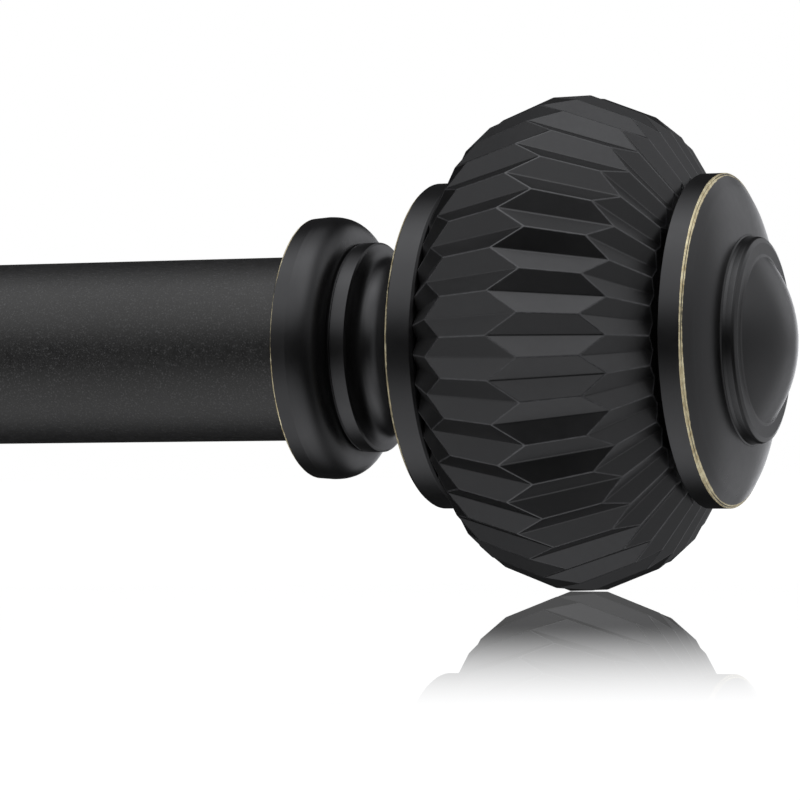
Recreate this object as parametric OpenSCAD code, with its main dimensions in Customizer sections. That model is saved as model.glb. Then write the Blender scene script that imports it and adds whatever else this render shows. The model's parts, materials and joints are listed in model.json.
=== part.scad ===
// Telescoping curtain rod with two fluted finials and two wall brackets.
// Millimetres, +Z up, +X along the rod towards the right finial, +Y into the wall.
// Origin: centre of the right bracket's wall face.

/* [Rod] */
// Outside diameter of the outer tube
outer_d = 25.4; // [25.0:0.1:25.6]
// Wall thickness of the outer tube
outer_wall = 0.9; // [0.8:0.1:1.0]
// Outside diameter of the inner tube
inner_d = 22.2; // [22.0:0.1:22.4]
// Wall thickness of the inner tube
inner_wall = 0.8; // [0.7:0.1:1.0]
// Length of each tube
tube_len = 673; // [640:1:690]
// Closed length of the rod, from flange face to flange face
rod_len = 711.2; // [700:0.1:720]

/* [Finial] */
// Number of flutes round the drum
flutes = 36; // [30:2:40]
// Largest radius of the drum
drum_r = 33.45; // [32:0.05:35]
// Turn of the flute pattern about the rod's axis, in degrees
drum_phase = 0.49; // [0:0.01:5]
// Half-length of the drum
drum_half = 16.4; // [16.2:0.1:16.8]
// Radius of the two round plates that clamp the drum
plate_r = 22.2; // [21:0.1:23]
// Radius of the neck's flange
flange_r = 18.15; // [17.5:0.05:18.5]
// Radius of the tie stud
stud_r = 4; // [3.9:0.1:4.0]

/* [Brackets] */
// Distance from the wall to the rod's axis
project = 95; // [94:1:98]
// Distance from the drum's middle to the bracket's middle
end_gap = 172; // [150:1:180]
// Radius of the wall plate
wall_r = 30; // [28:1:33]
// Distance from the plate's centre to each screw hole
hole_pitch = 20; // [19:0.5:21]
// Radius of the wall screw holes
hole_r = 2.3; // [2.1:0.1:2.6]
// Width of the cradle along the rod
cradle_w = 15; // [12:1:18]
// Gap between the rod and the cradle
cradle_gap = 0.3; // [0.2:0.05:0.5]

/* [Hidden] */

ro = outer_d / 2;
roi = ro - outer_wall;
ri = inner_d / 2;
rii = ri - inner_wall;
bore = stud_r + 0.05;         // clearance bore for the stud
neck_x = -38.3;               // flange face, from the drum's middle
tube_x = -37;                 // tube end, from the drum's middle
xr = end_gap;                 // middle of the right drum
xl = end_gap + neck_x - rod_len + neck_x;  // middle of the left drum
bx_r = 0;                     // middle of the right bracket
bx_l = xl + end_gap;          // middle of the left bracket
outer_x1 = xr + tube_x;
outer_x0 = outer_x1 - tube_len;
inner_x0 = xl - tube_x;
inner_x1 = inner_x0 + tube_len;

black = [0.09, 0.09, 0.095];
satin = [0.13, 0.13, 0.135];
zinc = [0.72, 0.73, 0.74];
nylon = [0.85, 0.85, 0.82];

// Round solid about the X axis from a list of [radius, x].
module lathe_x(p, fn = 96) {
  rotate([0, 90, 0]) rotate_extrude($fn = fn) polygon(p);
}
// Round solid about the Y axis from a list of [radius, height above the wall].
module lathe_y(p, fn = 96) {
  rotate([90, 0, 0]) rotate_extrude($fn = fn) polygon(p);
}
// Places a finial piece: right side as drawn, left side mirrored.
module at_end(left) {
  if (left) translate([xl, -project, 0]) mirror([1, 0, 0]) children();
  else translate([xr, -project, 0]) children();
}
module at_bracket(left) {
  translate([left ? bx_l : bx_r, 0, 0]) children();
}

// ---------- finial ----------
module neck(left) color(black) at_end(left) lathe_x([
  [ro + 0.3, neck_x], [13.4, neck_x], [13.7, neck_x - 0.25], [flange_r - 0.75, neck_x - 0.25],
  [flange_r - 0.6, neck_x - 0.1], [flange_r, neck_x + 2.1], [flange_r - 0.05, neck_x + 3.1],
  [flange_r - 0.4, neck_x + 4.3], [flange_r - 1.0, neck_x + 5.3], [flange_r - 1.85, neck_x + 6.05],
  [flange_r - 2.9, neck_x + 6.5],
  [14.0, -31.75], [14.05, -31.55], [14.4, -31.4], [14.4, -29.3], [14.1, -29.05],
  [13.0, -28.8], [12.3, -28.3], [11.9, -27.4], [12.0, -26.4], [12.4, -25.2],
  [13.1, -23.6], [14.0, -21.8], [14.5, -20.9], [14.5, -20.5],
  [bore, -20.5], [bore, -28.9], [8.3, -28.9], [8.3, -36], [ro + 0.3, -36]
]);
module rear_plate(left) color(black) at_end(left) lathe_x([
  [bore, -20.5], [plate_r - 0.7, -20.5], [plate_r - 0.25, -20.3], [plate_r, -19.9],
  [plate_r, -16.9], [plate_r - 0.25, -16.5], [plate_r - 0.6, -drum_half], [bore, -drum_half]
]);
module front_plate(left) color(black) at_end(left) lathe_x([
  [bore, drum_half], [15, drum_half], [15, 17.5], [plate_r + 0.1, 17.5], [plate_r + 0.2, 17.6],
  [plate_r + 0.2, 20.4], [plate_r + 0.05, 20.6], [plate_r - 0.15, 20.7], [plate_r - 0.4, 20.95],
  [20.6, 21.65], [19.2, 22.25], [17.6, 22.75], [15.9, 23.15],
  [14.3, 23.4], [bore, 23.4]
]);
module dome_button(left) color(black) at_end(left) lathe_x(concat(
  [[0, 27], [bore, 27], [bore, 23.4], [13.2, 23.4], [13.65, 23.6], [13.8, 24.0], [13.8, 24.9],
   [13.6, 25.25], [13.2, 25.4], [11.5, 25.42]],
  [for (i = [0 : 12]) let (a = 38.0 * (1 - i / 12)) [18.1 * sin(a), 11.2 + 18.1 * cos(a)]]
));

// One half-pitch wedge meridian of the drum: [x, radius] from the right end to the left end.
p_line = [[drum_half, 22.2], [12.5, drum_r - 5.2], [-2.15, drum_r], [-9.6, drum_r - 2.85], [-drum_half, 20.67]];
q_line = [for (i = [4 : -1 : 0]) [-p_line[i][0], p_line[i][1]]];
function meridian(k) = let (a = 180 * k / flutes + drum_phase, m = k % 2 == 0 ? p_line : q_line)
  [for (v = m) [v[0], -v[1] * cos(a), v[1] * sin(a)]];
drum_pts = concat([for (k = [0 : 2 * flutes - 1]) each meridian(k)], [[drum_half, 0, 0], [-drum_half, 0, 0]]);
function dk(k, j) = 5 * (k % (2 * flutes)) + j;
drum_faces = concat(
  [for (k = [0 : 2 * flutes - 1]) for (j = [0 : 3]) [dk(k, j), dk(k, j + 1), dk(k + 1, j + 1), dk(k + 1, j)]],
  [for (k = [0 : 2 * flutes - 1]) [dk(k, 0), dk(k + 1, 0), 10 * flutes]],
  [for (k = [0 : 2 * flutes - 1]) [dk(k + 1, 4), dk(k, 4), 10 * flutes + 1]]
);
module drum(left) color(black) at_end(left) difference() {
  polyhedron(points = drum_pts, faces = drum_faces, convexity = 4);
  rotate([0, 90, 0]) cylinder(r = bore, h = 60, center = true, $fn = 48);
}
module stud(left) color(zinc) at_end(left) lathe_x([
  [0, -53], [stud_r - 0.6, -53], [stud_r, -52.4], [stud_r, 26.2], [stud_r - 0.5, 26.7], [0, 26.7]
], 48);
module clamp_nut(left) color(zinc) at_end(left) difference() {
  translate([-35.4, 0, 0]) rotate([0, 90, 0]) cylinder(r = 7.5, h = 5.5, $fn = 6);
  translate([-36, 0, 0]) rotate([0, 90, 0]) cylinder(r = bore, h = 7, $fn = 48);
}
module lock_washer(left) color(zinc) at_end(left)
  lathe_x([[bore, -29.9], [7.4, -29.9], [7.4, -28.9], [bore, -28.9]], 64);
module finial_washer(left) color(nylon) at_end(left)
  lathe_x([[4.3, -36.9], [12, -36.9], [12, -36.1], [4.3, -36.1]], 64);

// ---------- rod ----------
module outer_tube() color(satin) translate([0, -project, 0])
  lathe_x([[roi, outer_x0], [ro, outer_x0], [ro, outer_x1], [roi, outer_x1]], 128);
module inner_tube() color(satin) translate([0, -project, 0])
  lathe_x([[rii, inner_x0], [ri, inner_x0], [ri, inner_x1], [rii, inner_x1]], 128);
module mouth_liner() color(black) translate([0, -project, 0])
  lathe_x([[ri + 0.1, outer_x0 - 1], [ro - 0.3, outer_x0 - 1], [ro, outer_x0 - 0.6], [ro, outer_x0],
           [roi, outer_x0], [roi, outer_x0 + 10], [ri + 0.1, outer_x0 + 10]], 96);
module inner_glide() color(nylon) translate([0, -project, 0])
  lathe_x([[ri + 0.03, inner_x1 - 12], [roi - 0.1, inner_x1 - 12], [roi - 0.1, inner_x1 - 0.5],
           [roi - 0.5, inner_x1], [ri + 0.03, inner_x1]], 96);
module left_reducer() color(black) translate([0, -project, 0])
  lathe_x([[ri + 0.03, inner_x0], [ro, inner_x0], [ro, inner_x0 + 9], [ro - 0.6, inner_x0 + 10], [ri + 0.03, inner_x0 + 10]], 96);
module tube_plug(left) color(zinc) at_end(left) lathe_x(
  let (r = left ? rii : roi) [
  [stud_r + 0.08, tube_x - 22], [r - 0.6, tube_x - 22], [r, tube_x - 21.2], [r, tube_x - 13],
  [r - 0.6, tube_x - 12.4], [r - 0.6, tube_x - 10.6], [r, tube_x - 10], [r, tube_x], [stud_r + 0.08, tube_x]
], 96);

// ---------- brackets ----------
module wall_plate(left) color(black) at_bracket(left) difference() {
  lathe_y([
    [0, 0], [wall_r, 0], [wall_r, 2.4], [wall_r - 0.4, 2.8], [wall_r - 2.8, 3.0], [wall_r - 3.4, 3.4],
    [wall_r - 3.8, 4.2], [wall_r - 4.4, 4.6], [14.5, 5.4], [13, 6.2], [12.2, 7.6], [12, 9],
    [12, 15.4], [11.4, 16], [8.05, 16], [8.05, 2], [0, 2]]);
  for (s = [-1, 1]) translate([0, 0, s * hole_pitch]) rotate([90, 0, 0]) {
    translate([0, 0, -1]) cylinder(r = hole_r, h = 10, $fn = 48);
    translate([0, 0, 2.4]) cylinder(r1 = hole_r, r2 = hole_r + 3.2, h = 3.2, $fn = 48);
  }
  translate([0, -11, -20]) cylinder(r = 2.05, h = 15, $fn = 32);
}
module arm_tube(left) color(black) at_bracket(left) difference() {
  lathe_y([[6.35, 2], [8, 2], [8, 52], [6.35, 52]]);
  translate([0, -47, -12]) cylinder(r = 2.3, h = 8, $fn = 32);
}
module arm_collar(left) color(black) at_bracket(left) difference() {
  lathe_y([[8.05, 42], [10.2, 42], [11, 42.5], [11.5, 43.5], [11.5, 51.4], [11, 52.4], [10, 53],
           [6.8, 53], [6.8, 52.1], [8.05, 52.1]]);
  translate([0, -47, -20]) cylinder(r = 2.05, h = 15, $fn = 32);
}
// Headless set screw about Z, pointing up, with a hexagonal socket in its lower end.
module set_screw(y, z0, z1) color(zinc) translate([0, y, 0]) difference() {
  translate([0, 0, z0]) rotate_extrude($fn = 32)
    polygon([[0, 0], [1.7, 0], [2, 0.3], [2, z1 - z0 - 0.4], [1.5, z1 - z0], [0, z1 - z0]]);
  translate([0, 0, z0 - 1]) cylinder(r = 1.15, h = 3, $fn = 6);
}
module grub_screw(left) at_bracket(left) set_screw(-11, -11.8, -8.02);
module lock_screw(left) at_bracket(left) set_screw(-47, -11.3, -6.4);
bar_end = project - ro - cradle_gap - 2.8;   // height of the bar's outer end above the wall
module arm_bar(left) color(zinc) at_bracket(left) difference() {
  lathe_y([[0, 14], [5.9, 14], [6.3, 14.5], [6.3, bar_end], [0, bar_end]], 64);
  translate([0, -bar_end + 12, 0]) rotate([90, 0, 0]) cylinder(r = 2.05, h = 13, $fn = 32);
}
cr = ro + cradle_gap;
module cradle(left) color(black) at_bracket(left) translate([0, -project, 0]) difference() {
  union() {
    rotate([0, 90, 0]) cylinder(r = cr + 2.8, h = cradle_w, center = true, $fn = 96);
    translate([-cradle_w / 2, -cr - 2.8, 0]) cube([cradle_w, 2 * cr + 5.6, 8]);
    translate([0, cr + 8.4, 0]) rotate([90, 0, 0]) cylinder(r = 7.5, h = 8, $fn = 64);
    translate([0, -cr - 1, 0]) rotate([90, 0, 0]) cylinder(r = 5.6, h = 5.8, $fn = 64);
  }
  rotate([0, 90, 0]) cylinder(r = cr, h = cradle_w + 2, center = true, $fn = 96);
  translate([-cradle_w / 2 - 1, -cr, 0]) cube([cradle_w + 2, 2 * cr, 20]);
  // socket for the bar
  translate([0, cr + 12, 0]) rotate([90, 0, 0]) cylinder(r = 6.35, h = 12 - 2.8, $fn = 64);
  // countersunk hole for the cradle screw
  translate([0, cr + 5, 0]) rotate([90, 0, 0]) cylinder(r = 2.05, h = 10, $fn = 32);
  translate([0, cr + 2.2, 0]) rotate([90, 0, 0]) cylinder(r1 = 2.05, r2 = 4.1, h = 2.05, $fn = 48);
  translate([0, cr + 0.16, 0]) rotate([90, 0, 0]) cylinder(r = 4.1, h = 2, $fn = 48);
  // threaded hole for the thumb screw
  translate([0, -cr + 2, 0]) rotate([90, 0, 0]) cylinder(r = 2.58, h = 12, $fn = 48);
}
module cradle_screw(left) color(zinc) at_bracket(left) difference() {
  lathe_y([[0, project - cr - 0.12], [3.9, project - cr - 0.12], [3.9, project - cr - 0.3],
           [2, project - cr - 2.2], [2, project - cr - 12], [0, project - cr - 12]], 48);
  translate([0, -project + cr + 1.4, 0]) rotate([90, 0, 0]) cylinder(r = 1.2, h = 4, $fn = 6);
}
th = project + ro;            // height of the rod's front above the wall
module thumb_pad(left) color(nylon) at_bracket(left)
  lathe_y([[0, th + 0.15], [1.9, th + 0.15], [2.45, th + 0.6], [2.45, th + 1.9], [0, th + 1.9]], 48);
module thumb_screw(left) color(black) at_bracket(left) difference() {
  lathe_y([[0, th + 2], [2.5, th + 2], [2.5, th + 9.2], [4.2, th + 9.2], [4.6, th + 9.6], [4.6, th + 10.6],
           [7.6, th + 10.6], [8.2, th + 11.2], [8.2, th + 16.4], [7.4, th + 17.2], [4, th + 17.6], [0, th + 17.8]], 64);
  for (i = [0 : 17]) rotate([0, 20 * i, 0]) translate([8.5, -th - 18, 0]) rotate([-90, 0, 0])
    cylinder(r = 0.8, h = 7.9, $fn = 16);
}

wall_plate(false);  // right_wall_plate
arm_tube(false);  // right_arm_tube
arm_collar(false);  // right_arm_collar
grub_screw(false);  // right_grub_screw
lock_screw(false);  // right_lock_screw
arm_bar(false);  // right_arm_bar
cradle(false);  // right_cradle
cradle_screw(false);  // right_cradle_screw
thumb_pad(false);  // right_thumb_pad
thumb_screw(false);  // right_thumb_screw
outer_tube();
mouth_liner();
tube_plug(false);  // right_tube_plug
finial_washer(false);  // right_finial_washer
neck(false);  // right_neck
rear_plate(false);  // right_rear_plate
drum(false);  // right_drum
front_plate(false);  // right_front_plate
dome_button(false);  // right_dome_button
stud(false);  // right_stud
clamp_nut(false);  // right_clamp_nut
lock_washer(false);  // right_lock_washer
inner_tube();
inner_glide();
tube_plug(true);  // left_tube_plug
left_reducer();
finial_washer(true);  // left_finial_washer
neck(true);  // left_neck
rear_plate(true);  // left_rear_plate
drum(true);  // left_drum
front_plate(true);  // left_front_plate
dome_button(true);  // left_dome_button
stud(true);  // left_stud
clamp_nut(true);  // left_clamp_nut
lock_washer(true);  // left_lock_washer
arm_bar(true);  // left_arm_bar
cradle(true);  // left_cradle
cradle_screw(true);  // left_cradle_screw
thumb_pad(true);  // left_thumb_pad
thumb_screw(true);  // left_thumb_screw
wall_plate(true);  // left_wall_plate
arm_tube(true);  // left_arm_tube
arm_collar(true);  // left_arm_collar
grub_screw(true);  // left_grub_screw
lock_screw(true);  // left_lock_screw
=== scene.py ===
import bpy, bmesh, json, math
import numpy as np
from mathutils import Matrix, Vector

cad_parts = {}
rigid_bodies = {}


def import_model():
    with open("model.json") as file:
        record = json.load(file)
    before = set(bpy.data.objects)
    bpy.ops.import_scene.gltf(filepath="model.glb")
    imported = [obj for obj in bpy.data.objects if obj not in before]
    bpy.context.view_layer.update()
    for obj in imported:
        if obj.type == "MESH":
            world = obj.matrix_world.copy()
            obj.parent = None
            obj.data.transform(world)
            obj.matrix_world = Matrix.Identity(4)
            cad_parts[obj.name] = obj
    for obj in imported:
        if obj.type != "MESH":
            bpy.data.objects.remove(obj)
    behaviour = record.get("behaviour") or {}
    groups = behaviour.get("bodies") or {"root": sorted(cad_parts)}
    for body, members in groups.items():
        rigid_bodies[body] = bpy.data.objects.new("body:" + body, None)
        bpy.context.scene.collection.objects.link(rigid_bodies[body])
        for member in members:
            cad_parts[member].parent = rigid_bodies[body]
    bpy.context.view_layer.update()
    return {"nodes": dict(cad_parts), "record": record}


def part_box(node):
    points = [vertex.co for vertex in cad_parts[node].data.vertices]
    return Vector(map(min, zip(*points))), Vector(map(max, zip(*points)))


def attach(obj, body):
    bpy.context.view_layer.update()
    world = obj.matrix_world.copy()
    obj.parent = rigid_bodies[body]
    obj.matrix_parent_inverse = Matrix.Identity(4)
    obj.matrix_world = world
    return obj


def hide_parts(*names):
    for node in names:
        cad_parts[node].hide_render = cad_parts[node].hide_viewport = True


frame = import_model()
SC = bpy.context.scene
MM = 0.001

# ------------------------------------------------------------------ layout, millimetres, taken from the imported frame
def mbox(n):
    lo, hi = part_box(n)
    return [v / MM for v in lo], [v / MM for v in hi]


YA = -95.0                                   # rod axis: y, and z = 0
XR = mbox("right_dome_button")[1][0] - 29.3  # middle of the right drum
XL = mbox("left_dome_button")[0][0] + 29.3   # middle of the left drum
BX = {"right": 0.0, "left": sum(v[0] for v in mbox("left_wall_plate")) / 2}
OT0, OT1 = mbox("outer_tube")[0][0], mbox("outer_tube")[1][0]
IT0, IT1 = mbox("inner_tube")[0][0], mbox("inner_tube")[1][0]
RO, RI = 12.7, 11.1


# ------------------------------------------------------------------ mesh helpers
def unit(v):
    v = np.asarray(v, float)
    n = np.linalg.norm(v, axis=-1, keepdims=True)
    return v / np.maximum(n, 1e-12)


def fillet(pts, closed=True, step=9.0):
    """Rounds the corners of a profile given as (x, r, fillet radius). Returns points and normals to the left of travel."""
    P, N = [], []
    n = len(pts)
    for i in range(n):
        b = np.array(pts[i][:2], float)
        if not closed and i in (0, n - 1):
            o = np.array(pts[1][:2] if i == 0 else pts[n - 2][:2], float)
            d = unit(o - b) if i == 0 else unit(b - o)
            P.append(b)
            N.append(np.array([-d[1], d[0]]))
            continue
        a = np.array(pts[i - 1][:2], float)
        c = np.array(pts[(i + 1) % n][:2], float)
        rad = pts[i][2] if len(pts[i]) > 2 else 0.1
        d1, d2 = unit(b - a), unit(c - b)
        cr = d1[0] * d2[1] - d1[1] * d2[0]
        al = math.atan2(cr, float(d1 @ d2))
        n1 = np.array([-d1[1], d1[0]])
        if abs(al) < 1e-3:
            P.append(b)
            N.append(n1)
            continue
        room = min(np.linalg.norm(b - a), np.linalg.norm(c - b)) * 0.497
        t = min(rad * math.tan(abs(al) / 2), room)
        rad = t / math.tan(abs(al) / 2)
        s = b - d1 * t
        sg = 1 if al > 0 else -1
        cen = s + n1 * sg * rad
        k = max(3, int(math.ceil(abs(math.degrees(al)) / step)))
        for j in range(k + 1):
            q = al * j / k
            m = np.array([n1[0] * math.cos(q) - n1[1] * math.sin(q), n1[0] * math.sin(q) + n1[1] * math.cos(q)])
            P.append(cen - m * sg * rad)
            N.append(m)
    return np.array(P), np.array(N)


def area2(P):
    x, y = P[:, 0], P[:, 1]
    return float(np.sum(x * np.roll(y, -1) - np.roll(x, -1) * y)) / 2


def link(o):
    SC.collection.objects.link(o)
    return o


def build(name, V, F, normals=None, attrs=None, smooth=True):
    """Mesh object from vertices in millimetres."""
    me = bpy.data.meshes.new(name)
    me.from_pydata((np.asarray(V, float) * MM).tolist(), [], [tuple(int(i) for i in f) for f in F])
    me.validate()
    me.update()
    if smooth:
        me.polygons.foreach_set("use_smooth", [True] * len(me.polygons))
    if normals is not None:
        me.normals_split_custom_set_from_vertices(np.asarray(normals, float).tolist())
    for k, v in (attrs or {}).items():
        a = me.attributes.new(k, "FLOAT", "POINT")
        a.data.foreach_set("value", np.asarray(v, np.float32))
    me.update()
    return link(bpy.data.objects.new(name, me))


def place(P3, axis, x0, flip):
    """(axial, radial cos, radial sin) points into the frame. axis x: along the rod; axis y: away from the wall."""
    a, c, s = P3[:, 0], P3[:, 1], P3[:, 2]
    if axis == "x":
        return np.stack([x0 + (-a if flip else a), YA - c, s], 1)
    return np.stack([x0 + c, -a, s], 1)


def placev(N3, axis, flip):
    a, c, s = N3[:, 0], N3[:, 1], N3[:, 2]
    if axis == "x":
        return np.stack([-a if flip else a, -c, s], 1)
    return np.stack([c, -a, s], 1)


def lathe(name, pts, axis="x", x0=0.0, flip=False, seg=192, closed=True, gold=None, step=9.0, disp=None, long_step=None, wide=0.0):
    """Solid of revolution with true normals. gold lists profile points (x, r) where the edge is rubbed."""
    P, N = fillet(pts, closed, step)
    if long_step:
        P2, N2 = [], []
        m = len(P)
        for i in range(m if closed else m - 1):
            a, b = P[i], P[(i + 1) % m]
            k = max(1, int(np.linalg.norm(b - a) / long_step))
            for j in range(k):
                w = j / k
                P2.append(a * (1 - w) + b * w)
                N2.append(unit(N[i] * (1 - w) + N[(i + 1) % m] * w))
        if not closed:
            P2.append(P[-1])
            N2.append(N[-1])
        P, N = np.array(P2), np.array(N2)
    ar = area2(P)
    N = -N if ar > 0 else N              # outward
    m = len(P)
    th = np.arange(seg) * 2 * math.pi / seg
    pole0, pole1 = (not closed and P[0, 1] < 1e-6), (not closed and P[-1, 1] < 1e-6)
    rings = list(range(m))
    V, NV, D = [], [], []
    idx = {}
    gold = np.array(gold, float) if gold is not None and len(gold) else None
    for i in rings:
        d = 9.0 if gold is None else max(0.0, float(np.min(np.linalg.norm(gold - P[i], axis=1))) - wide)
        if (i == 0 and pole0) or (i == m - 1 and pole1):
            idx[i] = [len(V)]
            V.append([P[i, 0], 0, 0])
            NV.append([math.copysign(1, N[i, 0]) if abs(N[i, 0]) > 1e-6 else 1, 0, 0])
            D.append(d)
            continue
        idx[i] = list(range(len(V), len(V) + seg))
        for t in th:
            r = P[i, 1] + (disp(P[i, 0], t) if disp else 0.0)
            V.append([P[i, 0], r * math.cos(t), r * math.sin(t)])
            NV.append([N[i, 0], N[i, 1] * math.cos(t), N[i, 1] * math.sin(t)])
            D.append(d)
    F = []
    for i in range(m if closed else m - 1):
        A, B = idx[i], idx[(i + 1) % m]
        if len(A) == 1 and len(B) == 1:
            continue
        for j in range(seg):
            k = (j + 1) % seg
            if len(A) == 1:
                F.append((A[0], B[j], B[k]))
            elif len(B) == 1:
                F.append((A[j], B[0], A[k]))
            else:
                F.append((A[j], B[j], B[k], A[k]))
    V, NV = np.array(V), np.array(NV)
    W, NW = place(V, axis, x0, flip), placev(NV, axis, flip)
    # outward winding: compare a few face normals with the profile normals
    f = [g for g in F[len(F) // 3:len(F) // 3 + 400] if len(g) == 4]
    s = 0.0
    for g in f:
        fn = np.cross(W[g[1]] - W[g[0]], W[g[2]] - W[g[0]])
        s += float(fn @ NW[g[0]])
    if s < 0:
        F = [tuple(reversed(g)) for g in F]
    return build(name, W, F, None if disp else NW, {"edge": D})


def nets(name, f, lo, hi, h, axis_place=None):
    """Surface nets: meshes the zero surface of a distance function, with vertices drawn onto it and normals from its gradient."""
    lo, hi = np.array(lo, float), np.array(hi, float)
    n = np.ceil((hi - lo) / h).astype(int) + 1
    B = 8
    nb = np.ceil(n / B).astype(int)
    n = nb * B
    cx = [lo[a] + h * (np.arange(nb[a]) * B + (B - 1) / 2) for a in range(3)]
    C = np.stack(np.meshgrid(*cx, indexing="ij"), -1).reshape(-1, 3)
    fc = f(C)
    reach = h * (B + 1) * math.sqrt(3) / 2 + h
    G = np.repeat(np.repeat(np.repeat(np.sign(fc).reshape(nb) * reach, B, 0), B, 1), B, 2).astype(np.float32)
    act = np.nonzero(np.abs(fc) < reach * 1.35)[0]
    o = np.stack(np.meshgrid(*[np.arange(B)] * 3, indexing="ij"), -1).reshape(-1, 3)
    for c0 in range(0, len(act), 1500):
        ids = act[c0:c0 + 1500]
        b3 = np.stack(np.unravel_index(ids, nb), 1) * B
        I = (b3[:, None, :] + o[None]).reshape(-1, 3)
        G[I[:, 0], I[:, 1], I[:, 2]] = f(lo + I * h)
    S = G < 0
    cnt = np.zeros(np.array(G.shape) - 1, np.float32)
    acc = np.zeros(cnt.shape + (3,), np.float32)
    edges = {}
    for a in range(3):
        sl0 = [slice(None)] * 3
        sl1 = [slice(None)] * 3
        sl0[a], sl1[a] = slice(0, -1), slice(1, None)
        g0, g1 = G[tuple(sl0)], G[tuple(sl1)]
        x = S[tuple(sl0)] != S[tuple(sl1)]
        I = np.stack(np.nonzero(x), 1)
        v0 = g0[x]
        t = v0 / (v0 - g1[x])
        p = I.astype(np.float32)
        p[:, a] += t
        edges[a] = (I, v0 < 0)
        b, c = [k for k in range(3) if k != a]
        for db in (0, 1):
            for dc in (0, 1):
                J = I.copy()
                J[:, b] -= db
                J[:, c] -= dc
                ok = (J >= 0).all(1) & (J[:, b] < cnt.shape[b]) & (J[:, c] < cnt.shape[c])
                J, q = J[ok], p[ok]
                np.add.at(cnt, (J[:, 0], J[:, 1], J[:, 2]), 1)
                np.add.at(acc, (J[:, 0], J[:, 1], J[:, 2]), q)
    cells = np.stack(np.nonzero(cnt > 0), 1)
    num = -np.ones(cnt.shape, np.int64)
    num[cells[:, 0], cells[:, 1], cells[:, 2]] = np.arange(len(cells))
    V = lo + h * (acc[cells[:, 0], cells[:, 1], cells[:, 2]] / cnt[cells[:, 0], cells[:, 1], cells[:, 2]][:, None])

    def grad(p, e):
        g = np.empty_like(p)
        for a in range(3):
            d = np.zeros(3)
            d[a] = e
            g[:, a] = (f(p + d) - f(p - d)) / (2 * e)
        return g

    for _ in range(4):
        g = grad(V, h * 0.08)
        d = f(V)
        g2 = np.maximum((g * g).sum(1), 0.25)
        s = d[:, None] * g / g2[:, None]
        ln = np.linalg.norm(s, axis=1, keepdims=True)
        V = V - s * np.minimum(1, 0.4 * h / np.maximum(ln, 1e-9))
    F = []
    for a in range(3):
        I, inside = edges[a]
        b, c = (a + 1) % 3, (a + 2) % 3
        q = []
        for db, dc in ((0, 0), (1, 0), (1, 1), (0, 1)):
            J = I.copy()
            J[:, b] -= db
            J[:, c] -= dc
            q.append(J)
        ok = np.ones(len(I), bool)
        for J in q:
            ok &= (J >= 0).all(1) & (J < np.array(cnt.shape)).all(1)
        K = np.stack([num[J[ok][:, 0], J[ok][:, 1], J[ok][:, 2]] for J in q], 1)
        fl = inside[ok]
        K[~fl] = K[~fl][:, ::-1]
        F.append(K)
    F = np.concatenate(F)
    F = F[(F >= 0).all(1)]
    NV = unit(grad(V, h * 0.15))
    if axis_place is not None:
        V, NV = axis_place(V, NV)
    # winding check, after any mirroring
    fn = np.cross(V[F[:, 1]] - V[F[:, 0]], V[F[:, 2]] - V[F[:, 0]])
    if (fn * NV[F[:, 0]]).sum() < 0:
        F = F[:, ::-1]
    return build(name, V, F.tolist(), NV)


# distance functions, millimetres
def ln2(a, b):
    return np.sqrt(a * a + b * b)


def rod_sdf(a, r, h0, h1, rr, rad=0.0):
    """Round bar: axial coordinate a from h0 to h1, radial coordinate r, radius rr, edges rounded by rad."""
    d1 = r - rr
    d2 = np.abs(a - (h0 + h1) / 2) - (h1 - h0) / 2
    d1, d2 = d1 + rad, d2 + rad
    return np.minimum(np.maximum(d1, d2), 0) + ln2(np.maximum(d1, 0), np.maximum(d2, 0)) - rad


def smin(a, b, k):
    h = np.maximum(k - np.abs(a - b), 0) / k
    return np.minimum(a, b) - h * h * h * k / 6


def smax(a, b, k):
    return -smin(-a, -b, k)


def poly_sdf(x, y, pts):
    """Signed distance to a closed polygon, negative inside."""
    pts = np.array(pts, float)
    d = np.full(x.shape, 1e9)
    inside = np.zeros(x.shape, bool)
    n = len(pts)
    for i in range(n):
        a, b = pts[i], pts[(i + 1) % n]
        e = b - a
        wx, wy = x - a[0], y - a[1]
        t = np.clip((wx * e[0] + wy * e[1]) / (e @ e), 0, 1)
        d = np.minimum(d, (wx - e[0] * t) ** 2 + (wy - e[1] * t) ** 2)
        c1 = (a[1] <= y) & (b[1] > y)
        c2 = (a[1] > y) & (b[1] <= y)
        cr = e[0] * wy - e[1] * wx
        inside ^= (c1 & (cr > 0)) | (c2 & (cr < 0))
    return np.sqrt(d) * np.where(inside, -1, 1)


# ------------------------------------------------------------------ materials
def new_mat(name):
    m = bpy.data.materials.new(name)
    m.use_nodes = True
    nt = m.node_tree
    nt.nodes.clear()
    out = nt.nodes.new("ShaderNodeOutputMaterial")
    b = nt.nodes.new("ShaderNodeBsdfPrincipled")
    nt.links.new(b.outputs["BSDF"], out.inputs["Surface"])
    return m, nt, b


def N(nt, kind, **kw):
    n = nt.nodes.new(kind)
    for k, v in kw.items():
        if k in n.inputs:
            n.inputs[k].default_value = v
        else:
            setattr(n, k, v)
    return n


def noise(nt, coord, scale, detail=2.0, rough=0.5):
    n = nt.nodes.new("ShaderNodeTexNoise")
    n.inputs["Scale"].default_value = scale
    n.inputs["Detail"].default_value = detail
    n.inputs["Roughness"].default_value = rough
    nt.links.new(coord, n.inputs["Vector"])
    return n.outputs["Fac"]


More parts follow.
